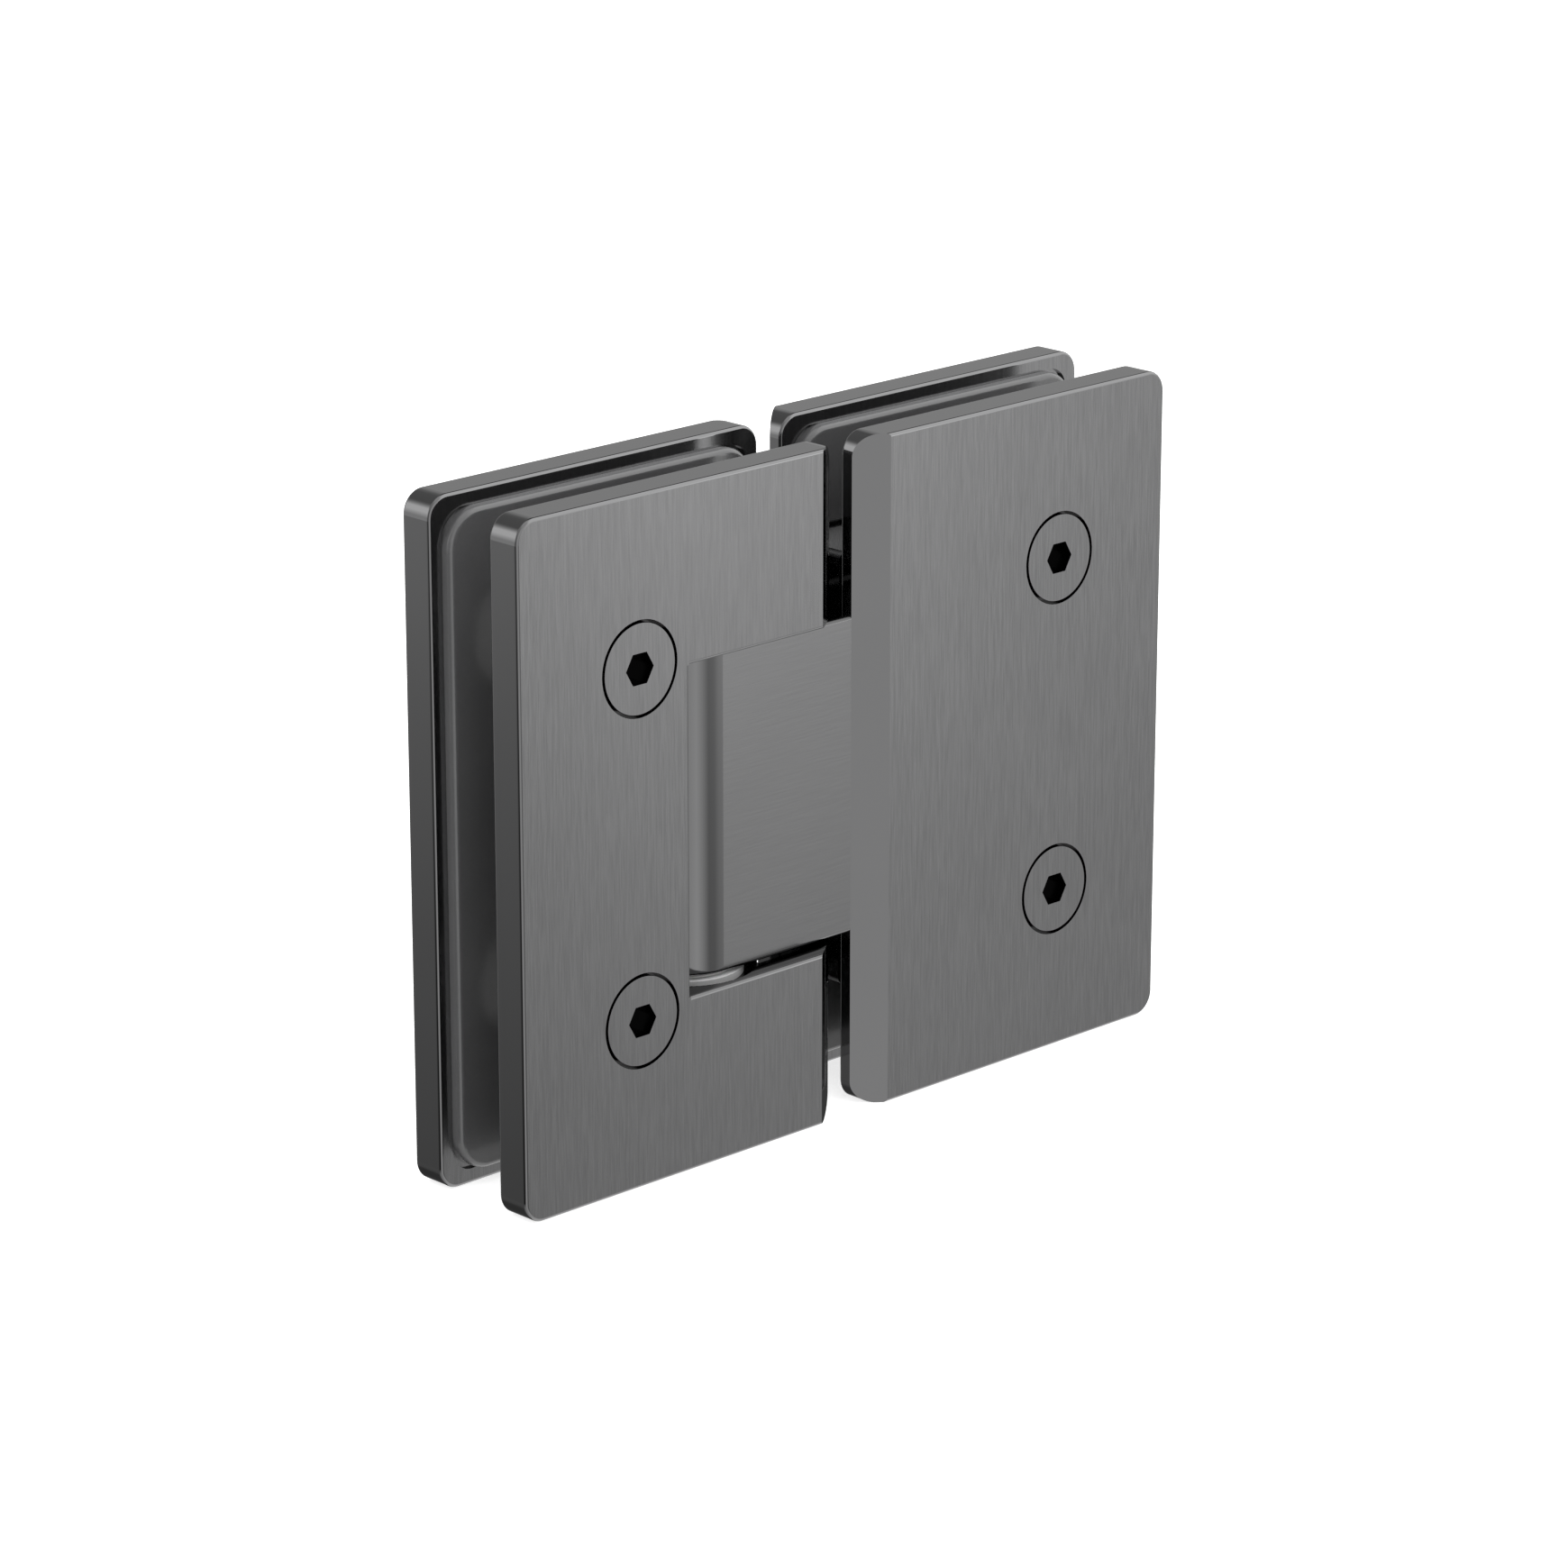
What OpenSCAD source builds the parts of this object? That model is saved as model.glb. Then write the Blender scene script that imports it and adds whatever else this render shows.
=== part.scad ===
// Glass to glass door hinge that carries a shower door in line with a fixed panel.
// The left pair of plates clamps the door and swings, the right pair clamps the fixed panel.
// Lengths are in millimetres. Z is up, the front faces look along -Y,
// and the origin is under the middle of the hinge, level with the plates' lower edges.

/* [Plates] */
// Height of every clamp plate
plate_h = 90; // [86:1:110]
// Width of a clamp plate from its outer to its inner edge
plate_w = 55; // [50:0.5:65]
// Thickness of a clamp plate
plate_t = 5; // [4.5:0.1:6]
// Radius of the plates' corners
corner_r = 3; // [1.5:0.5:4]
// Radius rolled over the plates' edges
edge_r = 0.45; // [0.2:0.05:0.8]
// Width of the bevel beside the centre gap
bevel_w = 4; // [2:0.5:5]
// Depth of the bevel, which also sets how far the knuckle stands back
bevel_d = 3; // [2:0.1:3.4]
// Gap between the door plates and the fixed plates
centre_gap = 4; // [3:0.5:6]

/* [Glass and pads] */
// Thickness of the glass that the hinge clamps
glass_t = 8; // [8:0.5:10]
// How far a pad stands out of its plate
pad_stand = 1.5; // [1.2:0.1:2]
// Depth of the pocket that a pad lies in
pocket_d = 0.5; // [0.3:0.1:0.8]
// Margin of plate left round a pad
pad_margin = 2; // [1.5:0.25:3]
// Corner radius of a pad
pad_corner_r = 5; // [3:0.5:6]
// Radius rolled over a pad's edges on the glass side
pad_edge_r = 0.8; // [0.3:0.1:1]
// Corner radius of the pocket
pocket_corner_r = 3; // [1:0.5:3]

/* [Clamp screws] */
// Distance of the clamp screws from the pivot axis
screw_from_pivot = 16.75; // [16:0.25:18]
// Distance between the upper and the lower clamp screw
screw_pitch = 45.7; // [44:0.1:48]
// Thread diameter of a clamp screw
screw_d = 6; // [5:0.5:6]
// Diameter of its countersunk head
screw_head_d = 11.6; // [11:0.1:12]
// Diameter of the round recess that the head sits in
head_recess_d = 12.5; // [12.2:0.1:12.8]
// Length of a clamp screw
screw_l = 16; // [14:0.5:18]
// Width across the flats of its hexagon socket
socket_af = 4; // [3:0.5:5]
// Depth of the socket
socket_d = 2.6; // [2:0.1:3]
// Diameter of the threaded boss on a back plate
boss_d = 11; // [9:0.5:11.5]
// Wall of the sleeve that keeps a boss off the glass
sleeve_wall = 1.5; // [1:0.1:1.8]

/* [Knuckle] */
// Height of the knuckle
knuckle_h = 42.6; // [40:0.2:43]
// Distance from the pivot axis to the inner edge of the door plates
pivot_in = 18.5; // [17:0.5:19]
// Radius on the knuckle's edges
knuckle_edge_r = 0.5; // [0.2:0.1:1]
// Length of the tongue that lies between the fixed plates
tongue_l = 17; // [15:0.5:20]
// Height of the tongue, which fills the cut-out in the fixed glass
tongue_h = 58.2; // [56:0.2:59]
// Radius on the tongue's corners
tongue_corner_r = 1; // [0.5:0.5:2]
// Free height between the tongue and the edge of the glass cut-out
glass_clear = 1; // [0.5:0.1:2]
// Free height above and below the knuckle in its notch
notch_gap = 0.4; // [0.3:0.1:0.8]
// Free space between the swinging notch and the knuckle
swing_gap = 1; // [0.8:0.1:1.5]
// Thread diameter of the two screws that hold the tongue
tongue_screw_d = 5; // [4:0.5:5]
// How far a tongue screw reaches into the back plate
tongue_screw_bite = 2.9; // [2:0.1:3.2]
// Distance of the tongue screws from the knuckle's ends
tongue_screw_end = 8.3; // [7.5:0.1:9]

/* [Pivot] */
// Diameter of the pivot pin
pin_d = 8; // [7:0.5:8.5]
// Width over the two flats at the pin's ends
pin_flats = 6; // [4:0.5:6]
// Height of the lugs that hold the pin's ends
lug_h = 6.5; // [5:0.5:7]
// Width of these lugs
lug_w = 17; // [14:0.5:17]
// Wall of the bearing bushes
bush_wall = 1.5; // [1:0.1:1.6]
// Length of a bearing bush
bush_l = 10; // [8:0.5:12]
// Thickness of the flange on a bush
flange_t = 1; // [0.6:0.1:1.4]
// Width of this flange
flange_w = 1; // [0.5:0.1:1]
// Thickness of the thrust washers
washer_t = 0.9; // [0.6:0.1:1.2]
// How far a thrust washer stands out past the barrel
washer_rim = 0.2; // [0.1:0.05:0.6]
// Free space round a thrust washer in the plates
washer_clear = 1.9; // [0.5:0.1:2]

/* [Centring] */
// Depth of the flats that hold the door shut and square open
detent_d = 0.3; // [0.2:0.05:0.4]
// Diameter of the spring plunger
plunger_d = 7; // [6:0.5:7]
// Length of the plunger
plunger_l = 9; // [8:0.5:10]
// Diameter of the spring's wire
wire_d = 0.9; // [0.6:0.1:1.1]
// Number of turns in the spring
turns = 5; // [4:1:7]
// Length of the spring as fitted
spring_l = 10; // [9:0.5:12]
// Diameter of the threaded plug behind the spring
plug_d = 8; // [7.5:0.5:8.5]
// Length of the plug
plug_l = 7; // [6:0.5:8]

/* [Hidden] */
$fn = 64;

// Clearances
fit_clear = 0.02;
run_clear = 0.05;
slide_clear = 0.1;
seat_clear = 0.3;
clamp_gap = 0.2;
screw_hole_clear = 0.3;
over = 1;

// Overall sizes and the places that several pieces share
glass_gap = glass_t + 2 * pad_stand;
total_t = 2 * plate_t + glass_gap;
total_w = 2 * plate_w + centre_gap;
mid_y = total_t / 2;
mid_z = plate_h / 2;
screw_z = [mid_z - screw_pitch / 2, mid_z + screw_pitch / 2];
tongue_screw_z = [
    mid_z - knuckle_h / 2 + tongue_screw_end,
    mid_z + knuckle_h / 2 - tongue_screw_end
];

// Knuckle and notch
knuckle_t = total_t - 2 * bevel_d;
barrel_r = knuckle_t / 2;
pivot_x = plate_w - pivot_in;
screw_x = pivot_x - screw_from_pivot;
notch_h = knuckle_h + 2 * notch_gap;
notch_l = pivot_in + barrel_r + swing_gap;
tongue_front = plate_t + clamp_gap;
tongue_t = glass_gap - clamp_gap;
knuckle_l = pivot_in + centre_gap;
tongue_screw_x = knuckle_l + tongue_l / 2;
tongue_screw_l = tongue_t + tongue_screw_bite;

// Pivot: the washers lie on the lugs, and the bushes' flanges run on the washers
washer_seat = mid_z - notch_h / 2 - washer_t - slide_clear;
washer_r = barrel_r + washer_rim;
washer_recess_r = washer_r + washer_clear;
pin_r = pin_d / 2;
pin_low = washer_seat - lug_h;
bush_r = pin_r + run_clear + bush_wall;
flange_r = bush_r + flange_w;
flange_low = washer_seat + washer_t + slide_clear;

// Sleeves and the cut-out that the glass and the pads have round the middle
sleeve_r = boss_d / 2 + fit_clear + sleeve_wall;
cutout_x = screw_x - sleeve_r - seat_clear;
tongue_low = mid_z - tongue_h / 2;
cutout_low = min(tongue_low - glass_clear, pin_low - seat_clear, screw_z[0] - sleeve_r - seat_clear);
cutout_h = plate_h - 2 * cutout_low;

// Countersunk heads: a short straight rim, then a cone of 90 degrees
head_rim = 0.4;
recess_depth = 1.4;
tip_chamfer = 0.6;
tongue_head_r = 0.92 * tongue_screw_d;

// Spring plunger, along X from the pivot axis
plunger_x = pin_r + run_clear;
spring_x = plunger_x + plunger_l + run_clear;
plug_x = spring_x + spring_l + run_clear;
plug_socket_af = plug_d / 2;
plug_socket_d = plug_l / 2;

metal = [0.43, 0.43, 0.44];
steel = [0.62, 0.62, 0.64];
dark_steel = [0.36, 0.36, 0.37];
rubber = [0.45, 0.45, 0.46];
acetal = [0.7, 0.7, 0.7];
nylon = [0.86, 0.86, 0.84];

// Frame of the door side: X from the outer edge inwards, Y from the front face back
module door_side() {
    translate([-total_w / 2, -total_t / 2, 0]) children();
}

// The fixed side is the door side's mirror image in the centre gap
module fixed_side() {
    mirror([1, 0, 0]) door_side() children();
}

// Turns a front piece into the back piece of the same pair
module at_back() {
    translate([0, total_t, 0]) mirror([0, 1, 0]) children();
}

// Frame of the pivot, with Z along the pin and X towards the fixed side
module at_pivot() {
    door_side() translate([pivot_x, mid_y, 0]) children();
}

// Repeats a piece above the middle of the hinge, mirrored
module upper_copy() {
    translate([0, 0, plate_h]) mirror([0, 0, 1]) children();
}

module both_ends() {
    children();
    upper_copy() children();
}

// Turns an outline drawn in X and Z into a solid that runs along +Y
module stand(depth) {
    rotate([90, 0, 0]) mirror([0, 0, 1]) linear_extrude(depth) children();
}

module rounded_outline(w, h, r) {
    translate([r, 0]) square([w - 2 * r, h]);
    translate([0, r]) square([w, h - 2 * r]);
    for (x = [r, w - r], z = [r, h - r])
        translate([x, z]) circle(r);
}

// Cross-section of a slab, rounded on its +Y side and, when both is true, on its -Y side too
module slab_section(w, t, roll, both) {
    intersection() {
        translate([0, both ? 0 : -roll]) rounded_outline(w, both ? t : t + roll, roll);
        square([w, t]);
    }
}

// Right half of a section that is w wide, ready to be turned about its middle line
module right_half(w, h) {
    intersection() {
        translate([-w / 2, 0]) children();
        square([w / 2, h]);
    }
}

// Slab with round corners and a radius rolled over the edges of its +Y face, or of both faces
module rolled_slab(w, h, t, corner, roll, both = true) {
    translate([0, 0, corner]) linear_extrude(h - 2 * corner) slab_section(w, t, roll, both);
    translate([corner, 0, h]) rotate([0, 90, 0])
        linear_extrude(w - 2 * corner) slab_section(h, t, roll, both);
    right = w - corner;
    top = h - corner;
    for (place = [[right, corner, 0], [corner, corner, 90], [corner, top, 180], [right, top, 270]])
        translate([place[0], 0, place[1]]) rotate([-90, place[2], 0]) rotate_extrude(angle = 90)
            right_half(2 * corner, t) slab_section(2 * corner, t, roll, both);
}

// Wedge that cuts the bevel along a plate's inner edge
module bevel_cut() {
    translate([plate_w, 0, -over]) linear_extrude(plate_h + 2 * over)
        polygon([[-bevel_w, 0], [0, bevel_d], [over, bevel_d], [over, -over], [-bevel_w, -over]]);
}

// Pocket that a pad lies in, open round the cut-out that the glass has
module pad_pocket() {
    translate([0, plate_t - pocket_d, 0]) stand(pocket_d + over) difference() {
        translate([pad_margin, pad_margin])
            rounded_outline(plate_w - 2 * pad_margin, plate_h - 2 * pad_margin, pocket_corner_r);
        translate([cutout_x, cutout_low]) square([plate_w, cutout_h]);
    }
}

// Plate common to all four places, with its outer face at Y 0
module plate_blank() {
    difference() {
        rolled_slab(plate_w, plate_h, plate_t, corner_r, edge_r);
        bevel_cut();
        pad_pocket();
    }
}

// Profile that rolls a sharp corner between the -X and -Y sides
module roll_profile(r) {
    difference() {
        translate([-over, -over]) square([r + over, r + over]);
        translate([r, r]) circle(r);
    }
}

// Notch that the knuckle turns in, with its front edges rolled
module notch_cut() {
    low = mid_z - notch_h / 2;
    wall = plate_w - notch_l;
    translate([wall, -over, low]) cube([notch_l + over, plate_t + 2 * over, notch_h]);
    both_ends() translate([wall, 0, low]) mirror([0, 0, 1]) rotate([90, 0, 90])
        linear_extrude(notch_l + over) mirror([1, 0]) rotate(90) roll_profile(edge_r);
    translate([wall, 0, low]) mirror([1, 0, 0]) linear_extrude(notch_h) roll_profile(edge_r);
}

// Round recesses above and below the notch that clear the thrust washers
module washer_recess() {
    both_ends() translate([pivot_x, mid_y, washer_seat])
        cylinder(h = notch_h / 2, r = washer_recess_r);
}

// The pin's end: round, with two flats that stop it turning
module pin_end(h, clear) {
    intersection() {
        cylinder(h = h, r = pin_r + clear);
        translate([-pin_d, -pin_flats / 2 - clear, 0]) cube([2 * pin_d, pin_flats + 2 * clear, h]);
    }
}

// Half lugs that grip the pin's ends between the two door plates
module pin_lugs() {
    both_ends() difference() {
        translate([pivot_x - lug_w / 2, plate_t - pocket_d, pin_low])
            cube([lug_w, glass_gap / 2 + pocket_d - slide_clear, lug_h]);
        translate([pivot_x, mid_y, pin_low - over]) pin_end(lug_h + 2 * over, fit_clear);
    }
}

// Recess for a countersunk head at Y 0, seated on its cone, with a clear hole behind it
module head_seat(head_d, recess_d, thread_d, depth) {
    cone_top = head_d / 2 + head_rim + fit_clear - recess_depth;
    hole_r = thread_d / 2 + screw_hole_clear;
    rotate([-90, 0, 0]) {
        translate([0, 0, -over]) cylinder(h = recess_depth + over, d = recess_d);
        translate([0, 0, recess_depth])
            cylinder(h = cone_top - hole_r, r1 = cone_top, r2 = hole_r);
        cylinder(h = depth, r = hole_r);
    }
}

// Countersunk screw along +Y with a hexagon socket whose corners point left and right
module countersunk_screw(d, l, head_d, af, deep) {
    cone_h = (head_d - d) / 2;
    rotate([-90, 0, 0]) difference() {
        union() {
            cylinder(h = head_rim, d = head_d);
            translate([0, 0, head_rim]) cylinder(h = cone_h, d1 = head_d, d2 = d);
            cylinder(h = l - tip_chamfer, d = d);
            translate([0, 0, l - tip_chamfer])
                cylinder(h = tip_chamfer, d1 = d, d2 = d - 2 * tip_chamfer);
        }
        translate([0, 0, -over]) cylinder(h = deep + over, d = af / cos(30), $fn = 6);
    }
}

// Threaded bosses that the clamp screws pull on, standing on a back plate's inner face
module boss_pair() {
    for (z = screw_z)
        translate([screw_x, plate_t - pocket_d, z]) rotate([-90, 0, 0])
            cylinder(h = glass_gap + pocket_d - clamp_gap - slide_clear, d = boss_d);
}

module boss_holes() {
    for (z = screw_z)
        translate([screw_x, total_t - screw_l - over, z]) rotate([-90, 0, 0])
            cylinder(h = total_t, d = screw_d + 2 * fit_clear);
}

module plate_screw_seats() {
    for (z = screw_z)
        translate([screw_x, 0, z]) head_seat(screw_head_d, head_recess_d, screw_d, plate_t + over);
}

module door_front_plate() {
    color(metal) door_side() {
        difference() {
            plate_blank();
            notch_cut();
            washer_recess();
            plate_screw_seats();
        }
        pin_lugs();
    }
}

module door_back_plate() {
    color(metal) door_side() at_back() difference() {
        union() {
            difference() {
                plate_blank();
                notch_cut();
                washer_recess();
            }
            pin_lugs();
            boss_pair();
        }
        boss_holes();
    }
}

module fixed_front_plate() {
    color(metal) fixed_side() difference() {
        plate_blank();
        plate_screw_seats();
    }
}

module fixed_back_plate() {
    color(metal) fixed_side() at_back() difference() {
        union() {
            plate_blank();
            boss_pair();
        }
        boss_holes();
        for (z = tongue_screw_z)
            translate([plate_w + knuckle_l - tongue_screw_x, plate_t - tongue_screw_bite - over, z])
                rotate([-90, 0, 0]) cylinder(h = total_t, d = tongue_screw_d + 2 * fit_clear);
    }
}

// Pad a hair inside its pocket, rolled on the glass side and cut away where the glass is
module pad() {
    margin = pad_margin + fit_clear;
    color(rubber) translate([0, plate_t - pocket_d + fit_clear, 0]) difference() {
        translate([margin, 0, margin])
            rolled_slab(plate_w - 2 * margin, plate_h - 2 * margin, pocket_d + pad_stand - fit_clear,
                pad_corner_r, pad_edge_r, false);
        translate([cutout_x - fit_clear, -over, cutout_low - fit_clear])
            cube([plate_w, glass_gap, cutout_h + 2 * fit_clear]);
    }
}

module door_front_pad() { door_side() pad(); }
module door_back_pad() { door_side() at_back() pad(); }
module fixed_front_pad() { fixed_side() pad(); }
module fixed_back_pad() { fixed_side() at_back() pad(); }

module clamp_screw(z) {
    color(dark_steel) translate([screw_x, 0, z])
        countersunk_screw(screw_d, screw_l, screw_head_d, socket_af, socket_d);
}

module door_upper_screw() { door_side() clamp_screw(screw_z[1]); }
module door_lower_screw() { door_side() clamp_screw(screw_z[0]); }
module fixed_upper_screw() { fixed_side() clamp_screw(screw_z[1]); }
module fixed_lower_screw() { fixed_side() clamp_screw(screw_z[0]); }

// Sleeve that slides over a boss and stands in the corner of the glass cut-out
module sleeve(z) {
    color(nylon) translate([screw_x, plate_t + seat_clear, z]) rotate([-90, 0, 0]) difference() {
        cylinder(h = glass_gap - 2 * seat_clear, r = sleeve_r);
        translate([0, 0, -over]) cylinder(h = glass_gap + over, d = boss_d + 2 * fit_clear);
    }
}

module door_upper_sleeve() { door_side() sleeve(screw_z[1]); }
module door_lower_sleeve() { door_side() sleeve(screw_z[0]); }
module fixed_upper_sleeve() { fixed_side() sleeve(screw_z[1]); }
module fixed_lower_sleeve() { fixed_side() sleeve(screw_z[0]); }

// Round barrel, straight block to the fixed plates, and the tongue between those plates
module knuckle_body() {
    low = mid_z - knuckle_h / 2;
    translate([0, 0, low]) {
        rotate(90) rotate_extrude(angle = 180)
            right_half(knuckle_t, knuckle_h) rounded_outline(knuckle_t, knuckle_h, knuckle_edge_r);
        rotate([90, 0, 90]) linear_extrude(knuckle_l)
            translate([-barrel_r, 0]) rounded_outline(knuckle_t, knuckle_h, knuckle_edge_r);
    }
    translate([knuckle_l - over, tongue_front - mid_y, low])
        cube([2 * over, tongue_t, knuckle_h]);
    translate([knuckle_l, tongue_front - mid_y, tongue_low])
        stand(tongue_t) rounded_outline(tongue_l, tongue_h, tongue_corner_r);
}

module knuckle() {
    color(metal) at_pivot() difference() {
        knuckle_body();
        translate([0, 0, -over]) cylinder(h = plate_h, r = bush_r + fit_clear);
        both_ends() cylinder(h = flange_low + flange_t, r = flange_r + fit_clear);
        translate([0, 0, mid_z]) rotate([0, 90, 0]) {
            cylinder(h = knuckle_l + tongue_l + over, d = plunger_d + 2 * run_clear);
            translate([0, 0, plug_x - over])
                cylinder(h = knuckle_l + tongue_l, d = plug_d + 2 * fit_clear);
        }
        for (z = tongue_screw_z)
            translate([tongue_screw_x, tongue_front - mid_y, z])
                head_seat(2 * tongue_head_r, 2 * (tongue_head_r + screw_hole_clear), tongue_screw_d,
                    tongue_t + over);
    }
}

module tongue_screw(z) {
    color(steel) at_pivot() translate([tongue_screw_x, tongue_front - mid_y, z])
        countersunk_screw(tongue_screw_d, tongue_screw_l, 2 * tongue_head_r, tongue_screw_d * 0.6,
            tongue_screw_d / 2);
}

module tongue_upper_screw() { tongue_screw(tongue_screw_z[1]); }
module tongue_lower_screw() { tongue_screw(tongue_screw_z[0]); }

// Pivot pin: flats at both ends for the lugs, and three shallow flats at mid height for the plunger
module pivot_pin() {
    flat_h = plunger_d + 2;
    color(steel) at_pivot() difference() {
        union() {
            translate([0, 0, washer_seat]) cylinder(h = plate_h - 2 * washer_seat, r = pin_r);
            both_ends() translate([0, 0, pin_low]) pin_end(lug_h + fit_clear, 0);
        }
        for (turn = [-90, 0, 90])
            rotate(turn) translate([pin_r - detent_d, -pin_r, mid_z - flat_h / 2])
                cube([over, pin_d, flat_h]);
    }
}

module thrust_washer() {
    color(acetal) at_pivot() translate([0, 0, washer_seat]) difference() {
        cylinder(h = washer_t, r = washer_r);
        translate([0, 0, -over]) cylinder(h = washer_t + 2 * over, r = pin_r + slide_clear);
    }
}

module lower_washer() { thrust_washer(); }
module upper_washer() { upper_copy() thrust_washer(); }

// Bush in the knuckle's bore, with a flange that runs on the thrust washer
module flanged_bush() {
    color(nylon) at_pivot() translate([0, 0, flange_low]) difference() {
        union() {
            cylinder(h = bush_l, r = bush_r);
            cylinder(h = flange_t, r = flange_r);
        }
        translate([0, 0, -over]) cylinder(h = bush_l + 2 * over, r = pin_r + run_clear);
    }
}

module lower_bush() { flanged_bush(); }
module upper_bush() { upper_copy() flanged_bush(); }

// Frame of the spring plunger, with Z along its travel away from the pin
module at_plunger() {
    at_pivot() translate([0, 0, mid_z]) rotate([0, 90, 0]) children();
}

module centring_plunger() {
    nose = 0.5;
    color(steel) at_plunger() translate([0, 0, plunger_x]) {
        cylinder(h = nose, d1 = plunger_d - 2 * nose, d2 = plunger_d);
        translate([0, 0, nose]) cylinder(h = plunger_l - nose, d = plunger_d);
    }
}

// One point of the spring's wire, from the angle along the coil and the angle round the wire
function coil_point(along, around, coil_r, rise) =
    let (reach = coil_r + wire_d / 2 * cos(around))
    [reach * cos(along), reach * sin(along), wire_d / 2 * (1 + sin(around)) + rise * along / 360];

module centring_spring() {
    sides = 8;
    steps = 16 * turns;
    coil_r = plunger_d / 2 - wire_d / 2 - slide_clear;
    rise = (spring_l - wire_d) / turns;
    points = [
        for (i = [0 : steps], k = [0 : sides - 1])
            coil_point(i * 360 * turns / steps, k * 360 / sides, coil_r, rise)
    ];
    walls = [
        for (i = [0 : steps - 1], k = [0 : sides - 1])
            let (a = i * sides + k, b = i * sides + (k + 1) % sides)
            [a, a + sides, b + sides, b]
    ];
    first_end = [for (k = [0 : sides - 1]) k];
    last_end = [for (k = [sides - 1 : -1 : 0]) steps * sides + k];
    color(steel) at_plunger() translate([0, 0, spring_x])
        polyhedron(points, concat(walls, [first_end], [last_end]), convexity = 10);
}

module spring_plug() {
    color(dark_steel) at_plunger() translate([0, 0, plug_x]) difference() {
        cylinder(h = plug_l, d = plug_d);
        translate([0, 0, plug_l - plug_socket_d])
            cylinder(h = plug_l, d = plug_socket_af / cos(30), $fn = 6);
    }
}

door_front_plate();
door_back_plate();
door_front_pad();
door_back_pad();
door_upper_screw();
door_lower_screw();
door_upper_sleeve();
door_lower_sleeve();
pivot_pin();
upper_washer();
lower_washer();
fixed_front_plate();
fixed_back_plate();
fixed_front_pad();
fixed_back_pad();
fixed_upper_screw();
fixed_lower_screw();
fixed_upper_sleeve();
fixed_lower_sleeve();
knuckle();
upper_bush();
lower_bush();
tongue_upper_screw();
tongue_lower_screw();
centring_plunger();
centring_spring();
spring_plug();
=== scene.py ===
import math

import bpy
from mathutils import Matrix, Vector

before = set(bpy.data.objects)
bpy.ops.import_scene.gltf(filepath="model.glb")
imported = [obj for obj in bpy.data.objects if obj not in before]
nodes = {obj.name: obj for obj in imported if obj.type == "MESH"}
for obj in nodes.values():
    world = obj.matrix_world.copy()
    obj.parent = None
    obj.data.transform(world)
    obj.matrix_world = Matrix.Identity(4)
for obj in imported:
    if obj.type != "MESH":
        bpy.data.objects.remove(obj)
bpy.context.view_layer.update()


# Clamp plates: solid brass cut from bar and plated dark grey. The broad faces are brushed
# upright and the edges polished. Shade is painted nearly black on the walls of the notch and of
# the recesses, and fainter painted shade dims the rolled edges round the notch.
# Two clamp screws pull each front plate towards its back plate, with the glass between them.
class Value:
    """One output of a shader node. Arithmetic with it adds Math nodes to the same tree."""

    def __init__(self, tree, socket):
        self.tree = tree
        self.socket = socket

    def math(self, operation, *others):
        return add_node(self.tree, "ShaderNodeMath", {"operation": operation}, (self, *others))

    def __add__(self, other):
        return self.math("ADD", other)

    def __mul__(self, other):
        return self.math("MULTIPLY", other)

    def __sub__(self, other):
        return self.math("SUBTRACT", other)

    def __rsub__(self, other):
        return add_node(self.tree, "ShaderNodeMath", {"operation": "SUBTRACT"}, (other, self))

    def __truediv__(self, other):
        return self.math("DIVIDE", other)

    def __lt__(self, other):
        return self.math("LESS_THAN", other)

    def __gt__(self, other):
        return self.math("GREATER_THAN", other)

    def __abs__(self):
        return self.math("ABSOLUTE")

    __radd__ = __add__
    __rmul__ = __mul__


def add_node(tree, kind, settings, sockets, output=0):
    """Adds a node, applies its settings, then fills or links its sockets. The setting called
    stops gives a colour ramp as pairs of place and grey."""
    node = tree.nodes.new(kind)
    for name, setting in settings.items():
        if name == "stops":
            ramp = node.color_ramp.elements
            while len(ramp) < len(setting):
                ramp.new(0.5)
            for stop, (place, grey) in zip(ramp, setting):
                stop.position = place
                stop.color = (grey, grey, grey, 1)
        else:
            setattr(node, name, setting)
    named = sockets.items() if isinstance(sockets, dict) else enumerate(sockets)
    for key, value in named:
        if isinstance(value, Value):
            tree.links.new(value.socket, node.inputs[key])
        else:
            node.inputs[key].default_value = value
    return Value(tree, node.outputs[output])


def split(tree, vector):
    """The X, Y and Z of a vector."""
    return [add_node(tree, "ShaderNodeSeparateXYZ", {}, (vector,), axis) for axis in "XYZ"]


def new_finish(name):
    """Starts a material and gives back it, its node tree and its object coordinates."""
    finish = bpy.data.materials.new(name)
    finish.use_nodes = True
    finish.node_tree.nodes.clear()
    place = add_node(finish.node_tree, "ShaderNodeTexCoord", {}, {}, "Object")
    return finish, finish.node_tree, place


def close_finish(tree, shader):
    output = tree.nodes.new("ShaderNodeOutputMaterial")
    tree.links.new(shader.socket, output.inputs["Surface"])


def grain(tree, place, across, along, axis, detail=3.0):
    """Noise drawn out along one axis; across and along are its sizes in metres."""
    scale = [1 / across] * 3
    scale["xyz".index(axis)] = 1 / along
    stretched = add_node(tree, "ShaderNodeMapping", {}, {"Vector": place, "Scale": scale})
    return add_node(tree, "ShaderNodeTexNoise", {},
                    {"Vector": stretched, "Scale": 1.0, "Detail": detail}, "Fac")


def bump(tree, height, strength, distance):
    return add_node(tree, "ShaderNodeBump", {},
                    {"Strength": strength, "Distance": distance, "Height": height})


STRAIGHT = 0.999


def facing(tree, axis):
    """1 where a surface looks straight along the axis, either way, and 0 where it doesn't."""
    normal = add_node(tree, "ShaderNodeTexCoord", {}, {}, "Normal")
    part = add_node(tree, "ShaderNodeSeparateXYZ", {}, (normal,), axis.upper())
    return abs(part) > STRAIGHT


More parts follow.
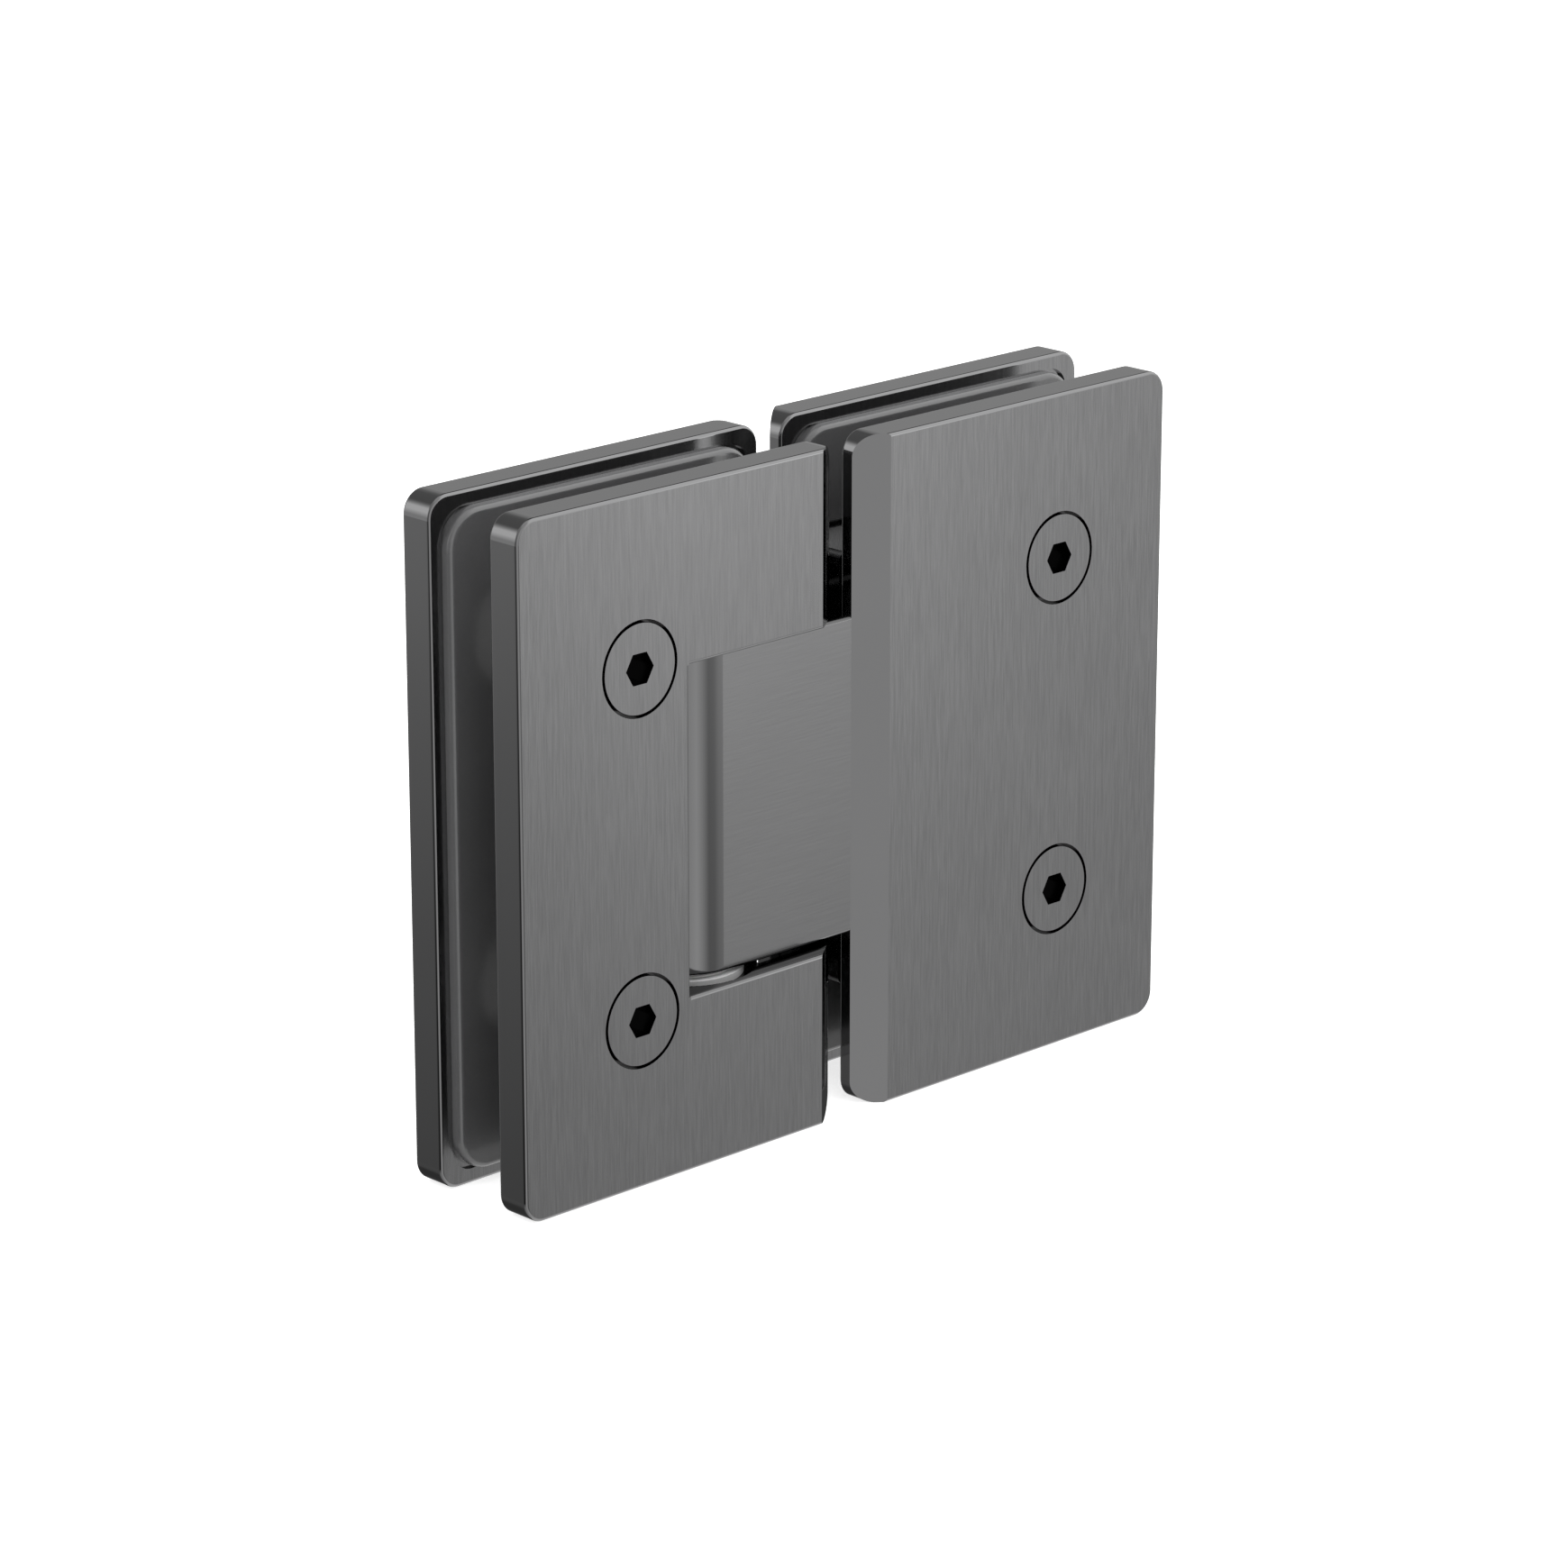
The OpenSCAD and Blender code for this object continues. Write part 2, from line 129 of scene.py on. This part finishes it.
def mix(tree, factor, *colours):
    """Colour between two others, each a Value or the red, green and blue of a plain one."""
    first, second = (colour if isinstance(colour, Value) else (*colour, 1) for colour in colours)
    return add_node(tree, "ShaderNodeMix", {"data_type": "RGBA"},
                    {0: factor, 6: first, 7: second}, 2)


def within(distance, *offsets):
    """1 where the point that the offsets lead to is nearer than the distance, else 0."""
    return sum(offset * offset for offset in offsets) < distance * distance


# Places of the recesses and of the notch in metres. UP counts from the middle of the height and
# FACE from the plane midway between the front and the back.
MID_Z = 0.045
PIVOT_X = -0.0205
SCREW_X = 0.03725
SCREW_UP = 0.02285
SCREW_RECESS_R = 0.0063
SCREW_RECESS_FACE = 0.01042
NOTCH_END = -0.0292
NOTCH_UP = 0.02175
NOTCH_FACE = 0.01
NOTCH_ROLL_UP = 0.0234
NOTCH_ROLL_FACE = 0.01047
# Share of painted shade that dims the highlight on the rolled edges round the notch.
NOTCH_ROLL_SHADE = 0.35
WASHER_RECESS_R = 0.0097
WASHER_RECESS_UP = 0.0229


def screw_recess_shade(x, y, z):
    """The walls of the four recesses that the screw heads lie in, where shade is painted."""
    across = abs(x) - SCREW_X
    up = abs(z - MID_Z) - SCREW_UP
    return within(SCREW_RECESS_R, across, up) * (abs(y) < SCREW_RECESS_FACE)


def notch_walls_shade(x, y, z):
    """Where shade is painted: the walls of the knuckle's notch, of the washers' recesses and of
    the screws' ones, and less of it on the rolled edges round the notch."""
    up = abs(z - MID_Z)
    depth = abs(y)
    past_end = x > NOTCH_END
    notch = (up < NOTCH_UP) * past_end * (depth < NOTCH_FACE)
    washer_recess = (up < WASHER_RECESS_UP) * within(WASHER_RECESS_R, x - PIVOT_X, y)
    roll = (up < NOTCH_ROLL_UP) * past_end * (depth < NOTCH_ROLL_FACE)
    walls = notch.math("MAXIMUM", washer_recess).math("MAXIMUM", screw_recess_shade(x, y, z))
    return walls.math("MAXIMUM", roll * NOTCH_ROLL_SHADE)


PLATE_DARK = (0.198, 0.198, 0.2)
PLATE_LIGHT = (0.235, 0.235, 0.237)
# Painted shade: the near-black grey laid on the walls of recesses, sockets and the notch.
SHADE_BLACK = (0.05, 0.05, 0.05)
POLISHED = 0.05
BRUSHED = 0.16
FINE_LINE = (0.0002, 0.004)
LONG_LINE = (0.0005, 0.012)
FINE_SHARE = 0.7
LINE_ROUGHNESS = 0.06
LINE_DEPTH = 0.0001
LINE_STRENGTH = 0.03
CLOUD_SIZE = 0.02
CLOUD_CONTRAST = 0.4
MACHINED_FROM_X = 0.002


def brushed_metal(name, brush_axis, smooth_rough, brushed_rough, painted_shade, machined=0.0,
                  contrast=3.5):
    """Plated metal, brushed on the faces along Y, and smooth on every other one. Its colour is
    painted nearly black as painted shade where the function given for shade gives 1, and its
    level faces past MACHINED_FROM_X get rougher by machined."""
    finish, tree, place = new_finish(name)
    x, y, z = split(tree, place)
    fine = grain(tree, place, *FINE_LINE, brush_axis)
    long = grain(tree, place, *LONG_LINE, brush_axis)
    cloud = grain(tree, place, CLOUD_SIZE, CLOUD_SIZE, brush_axis, 2.0)
    brushed = facing(tree, "y")
    streak = fine * FINE_SHARE + long * (1 - FINE_SHARE)
    tone = brushed * (streak - 0.5) * contrast + (cloud - 0.5) * CLOUD_CONTRAST + 0.5
    colour = mix(tree, painted_shade(x, y, z), mix(tree, tone, PLATE_DARK, PLATE_LIGHT), SHADE_BLACK)
    rough = smooth_rough + brushed * (brushed_rough - smooth_rough)
    rough = rough + (streak - 0.5) * LINE_ROUGHNESS * brushed
    rough = rough + facing(tree, "z") * (x > MACHINED_FROM_X) * machined
    shader = add_node(tree, "ShaderNodeBsdfPrincipled", {}, {
        "Base Color": colour, "Metallic": 1.0, "Roughness": rough,
        "Normal": bump(tree, streak * brushed, LINE_STRENGTH, LINE_DEPTH),
    })
    close_finish(tree, shader)
    return finish


def dress(finish, *names):
    for name in names:
        nodes[name].data.materials.clear()
        nodes[name].data.materials.append(finish)


dress(brushed_metal("brushed gunmetal, door", "z", POLISHED, BRUSHED, notch_walls_shade),
      "door_front_plate", "door_back_plate")
dress(brushed_metal("brushed gunmetal, fixed", "z", POLISHED, BRUSHED, screw_recess_shade),
      "fixed_front_plate", "fixed_back_plate")

# Knuckle: one brass block with a turned barrel at its free end and a tongue at the other, plated
# as the plates and brushed level. Two screws hold the tongue to the fixed back plate.
KNUCKLE_TOP = 0.06582
TONGUE_FROM_X = 0.00195
# Share of painted shade on the knuckle's top end.
TOP_SHADE = 0.65
KNUCKLE_SMOOTH = 0.08
KNUCKLE_MACHINED = 0.6
KNUCKLE_CONTRAST = 1.2


def knuckle_top_shade(x, y, z):
    """The top end with its rolled edge, where shade is painted to dim its highlight; the tongue
    past it gets none.
    """
    return (z > KNUCKLE_TOP) * (x < TONGUE_FROM_X) * TOP_SHADE


dress(brushed_metal("level brushed gunmetal", "x", KNUCKLE_SMOOTH, BRUSHED, knuckle_top_shade,
                    KNUCKLE_MACHINED, KNUCKLE_CONTRAST), "knuckle")


# Clamping pads: soft dark grey rubber with a fine moulded skin. Each lies in a shallow pocket
# of its plate and stands out of it to meet the glass.
SPECK_SIZE = 0.0003
SPECK_SHARE = 0.3
SPECK_ROUGHNESS = 0.1
SPECK_DEPTH = 0.00005
SPECK_STRENGTH = 0.1
MOULD_CLOUD_SIZE = 0.012


def moulded(name, dark, light, rough, shine=0.5, faces=0.0):
    """Moulded rubber or plastic. Its level faces are painted lighter than its sides by faces, as
    painted light and shade.
    """
    finish, tree, place = new_finish(name)
    speck = grain(tree, place, SPECK_SIZE, SPECK_SIZE, "x")
    cloud = grain(tree, place, MOULD_CLOUD_SIZE, MOULD_CLOUD_SIZE, "x", 2.0)
    uneven = cloud * (1 - SPECK_SHARE) + speck * SPECK_SHARE
    tone = uneven * (1 - faces) + facing(tree, "z") * faces
    shader = add_node(tree, "ShaderNodeBsdfPrincipled", {}, {
        "Base Color": mix(tree, tone, dark, light),
        "Roughness": (speck - 0.5) * SPECK_ROUGHNESS + rough,
        "Normal": bump(tree, speck, SPECK_STRENGTH, SPECK_DEPTH),
        "Specular IOR Level": shine,
    })
    close_finish(tree, shader)
    return finish


dress(moulded("pad rubber", (0.085, 0.085, 0.087), (0.12, 0.12, 0.122), 0.15, shine=1.0),
      "door_front_pad", "door_back_pad", "fixed_front_pad", "fixed_back_pad")

# Sleeves and bushes: white nylon, injection moulded. The sleeves slip over the plates' threaded
# bosses and keep them off the glass, and the flanged bushes are pressed into the knuckle.
dress(moulded("nylon", (0.7, 0.7, 0.69), (0.78, 0.78, 0.77), 0.45),
      "door_upper_sleeve", "door_lower_sleeve", "fixed_upper_sleeve", "fixed_lower_sleeve",
      "upper_bush", "lower_bush")

# Thrust washers: satin grey plastic, stamped from sheet, with painted light on their level faces
# and painted shade on their sides.
# They lie in round recesses above and below the knuckle and turn with the door.
dress(moulded("grey acetal", (0.48, 0.48, 0.48), (0.84, 0.84, 0.84), 0.35, faces=0.75),
      "upper_washer", "lower_washer")

# Clamp screws: countersunk steel screws with a hexagon socket, plated like the plates. They
# pass through the front plates and end in the back plates' threaded bosses.
SCREW_HEAD_FACE = 0.0104
HEAD_SMOOTH = 0.12
HEAD_BRUSHED = 0.15


def screw_socket_shade(x, y, z):
    """The rim and the socket, which lie behind the flat of the head and where shade is painted."""
    return abs(y) < SCREW_HEAD_FACE


dress(brushed_metal("screw heads", "z", HEAD_SMOOTH, HEAD_BRUSHED, screw_socket_shade),
      "door_upper_screw", "door_lower_screw", "fixed_upper_screw", "fixed_lower_screw")


# Pin, tongue screws, plunger, spring and plug: bare steel, turned or ground. The pin's ends sit
# in lugs of the door plates, and the plug keeps the spring and the plunger in the knuckle's bore.
STEEL_DARK = (0.42, 0.42, 0.42)
STEEL_LIGHT = (0.55, 0.55, 0.55)
STEEL_ROUGH = 0.2
TOOL_MARK = (0.004, 0.00015)
TOOL_MARK_ROUGHNESS = 0.1
TOOL_MARK_DEPTH = 0.00005
TOOL_MARK_STRENGTH = 0.1
STEEL_CLOUD_SIZE = 0.005


def bare_steel(name):
    finish, tree, place = new_finish(name)
    lines = grain(tree, place, *TOOL_MARK, "z")
    cloud = grain(tree, place, STEEL_CLOUD_SIZE, STEEL_CLOUD_SIZE, "z", 2.0)
    colour = mix(tree, lines * 0.5 + cloud * 0.5, STEEL_DARK, STEEL_LIGHT)
    shader = add_node(tree, "ShaderNodeBsdfPrincipled", {}, {
        "Base Color": colour, "Metallic": 1.0,
        "Roughness": lines * TOOL_MARK_ROUGHNESS + STEEL_ROUGH,
        "Normal": bump(tree, lines, TOOL_MARK_STRENGTH, TOOL_MARK_DEPTH),
    })
    close_finish(tree, shader)
    return finish


dress(bare_steel("turned steel"), "pivot_pin", "tongue_upper_screw", "tongue_lower_screw",
      "centring_plunger", "centring_spring", "spring_plug")

# Camera: a long lens half a metre away, at the photo's angle.
CAMERA_PLACE = Vector((-0.48626, -0.50154, 0.26334))
CAMERA_LOOK = Vector((0.66184, 0.68641, -0.30135))
CAMERA_LENS = 130.245
SENSOR_WIDTH = 36

camera_data = bpy.data.cameras.new("camera")
camera_data.lens = CAMERA_LENS
camera_data.sensor_width = SENSOR_WIDTH
camera_data.clip_start = 0.01
camera = bpy.data.objects.new("camera", camera_data)
camera.location = CAMERA_PLACE
camera.rotation_euler = CAMERA_LOOK.to_track_quat("-Z", "Y").to_euler()
bpy.context.scene.collection.objects.link(camera)
bpy.context.scene.camera = camera

# Floor: plain white, lifted to pure white for the camera alone, and left out of what the metal
# mirrors.
FLOOR_WHITE = (0.8, 0.8, 0.8, 1)
FLOOR_LIFT = 0.75
FLOOR_SIZE = 12

bpy.ops.mesh.primitive_plane_add(size=FLOOR_SIZE)
floor = bpy.context.active_object
floor.name = "floor"
floor.visible_glossy = False
floor_finish, tree, _ = new_finish("white floor")
lit = add_node(tree, "ShaderNodeBsdfDiffuse", {}, {"Color": FLOOR_WHITE}, "BSDF")
nothing = add_node(tree, "ShaderNodeEmission", {}, {"Strength": 0.0})
glow = add_node(tree, "ShaderNodeEmission", {}, {"Strength": FLOOR_LIFT})
seen = add_node(tree, "ShaderNodeLightPath", {}, {}, "Is Camera Ray")
lift = add_node(tree, "ShaderNodeMixShader", {}, (seen, nothing, glow))
close_finish(tree, add_node(tree, "ShaderNodeAddShader", {}, (lit, lift)))
floor.data.materials.append(floor_finish)

# Surround: soft light from all round, weaker from the left. What the metal mirrors is painted
# on it in rings of height. Each ring gives pairs of place and level round the horizon, from 0 at
# the back through 0.25 at the left, 0.5 at the front and 0.75 at the right back to 1.
DEEP_RING = (
    (0.0, 0.08), (0.07, 0.1), (0.15, 0.3), (0.3, 0.6), (0.5, 0.9), (0.62, 1.25), (0.83, 1.25),
    (0.88, 0.6), (0.93, 0.08), (1.0, 0.08))
LOW_RING = (
    (0.0, 0.45), (0.07, 0.3), (0.114, 0.2), (0.17, 0.12), (0.25, 0.02), (0.31, 0.02), (0.36, 0.6),
    (0.379, 0.84), (0.42, 0.85), (0.456, 1.0), (0.49, 0.7), (0.525, 0.28), (0.56, 0.26), (0.6, 0.4),
    (0.613, 0.5), (0.6175, 0.66), (0.6235, 0.66), (0.627, 0.62), (0.632, 0.58), (0.66, 0.56),
    (0.78, 0.56), (0.81, 0.05), (0.84, 0.05), (0.86, 0.75), (0.91, 0.75), (0.94, 0.5), (1.0, 0.45))
LEVEL_RING = (
    (0.0, 0.8), (0.06, 0.75), (0.114, 0.75), (0.2, 0.6), (0.25, 0.25), (0.31, 0.2), (0.37, 0.8),
    (0.456, 0.95), (0.525, 0.7), (0.56, 0.9), (0.58, 1.2), (0.613, 1.4), (0.6165, 2.3),
    (0.6215, 2.3), (0.6235, 1.6), (0.626, 1.3), (0.632, 1.0), (0.78, 1.0), (0.81, 0.3), (0.84, 0.3),
    (0.865, 0.5), (0.9, 0.6), (1.0, 0.8))
RAISED_RING = (
    (0.0, 0.4), (0.07, 0.7), (0.1, 1.5), (0.14, 1.5), (0.2, 1.0), (0.25, 0.4), (0.31, 0.3),
    (0.37, 0.8), (0.456, 0.95), (0.54, 1.0), (0.58, 1.6), (0.78, 1.6), (0.81, 0.4), (0.84, 0.35),
    (0.865, 0.47), (0.9, 0.47), (1.0, 0.4))
HIGH_RING = (
    (0.0, 0.25), (0.065, 0.25), (0.1, 0.4), (0.2, 0.6), (0.3, 0.5), (0.42, 0.8), (0.54, 0.9),
    (0.58, 1.6), (0.785, 1.6), (0.805, 0.3), (0.85, 0.06), (0.88, 0.1), (0.93, 0.25), (1.0, 0.25))
TOP_LEVEL = 0.9
HORIZON_LOW = -22
HORIZON_SPAN = 14
HORIZON = ((0.036, 0.0), (0.214, 0.13), (0.357, 0.27), (0.5, 0.5), (0.714, 0.8), (1.0, 1.0))
SOFT_RING = (
    (0.0, 0.6), (0.08, 0.3), (0.15, 0.1), (0.32, 0.1), (0.42, 0.5), (0.55, 0.7), (0.8, 0.7),
    (1.0, 0.6))
SOFT_TOP = 2.0

world = bpy.data.worlds.new("studio")
bpy.context.scene.world = world
world.use_nodes = True
tree = world.node_tree
tree.nodes.clear()
east, north, rise = split(tree, add_node(tree, "ShaderNodeTexCoord", {}, {}, "Generated"))
turn = east.math("ARCTAN2", 0 - north) / (2 * math.pi) + 0.5
height = rise.math("ARCSINE") * (180 / math.pi)


def ramp(stops, place):
    return add_node(tree, "ShaderNodeValToRGB", {"stops": stops}, (place,), "Color")


def above(low, high):
    """0 below the low height in degrees, 1 above the high one, and a slope between."""
    return add_node(tree, "ShaderNodeMapRange", {},
                    {"Value": height, "From Min": low, "From Max": high})


def blend(lower, upper, share):
    return lower * (1 - share) + upper * share


paint = ramp(DEEP_RING, turn)
for stops, share in (
    (LOW_RING, above(-36, -26)),
    (LEVEL_RING, ramp(HORIZON, (height - HORIZON_LOW) / HORIZON_SPAN)),
    (RAISED_RING, above(-4, 12)),
    (HIGH_RING, above(24, 38)),
):
    paint = blend(paint, ramp(stops, turn), share)
paint = blend(paint, TOP_LEVEL, above(58, 75))
soft_light = blend(ramp(SOFT_RING, turn), SOFT_TOP, above(10, 60))
mirrored = add_node(tree, "ShaderNodeLightPath", {}, {}, "Is Glossy Ray")
sky = add_node(tree, "ShaderNodeBackground", {}, {"Color": blend(soft_light, paint, mirrored)})
output = tree.nodes.new("ShaderNodeOutputWorld")
tree.links.new(sky.socket, output.inputs["Surface"])

bpy.context.scene.view_settings.view_transform = "Standard"
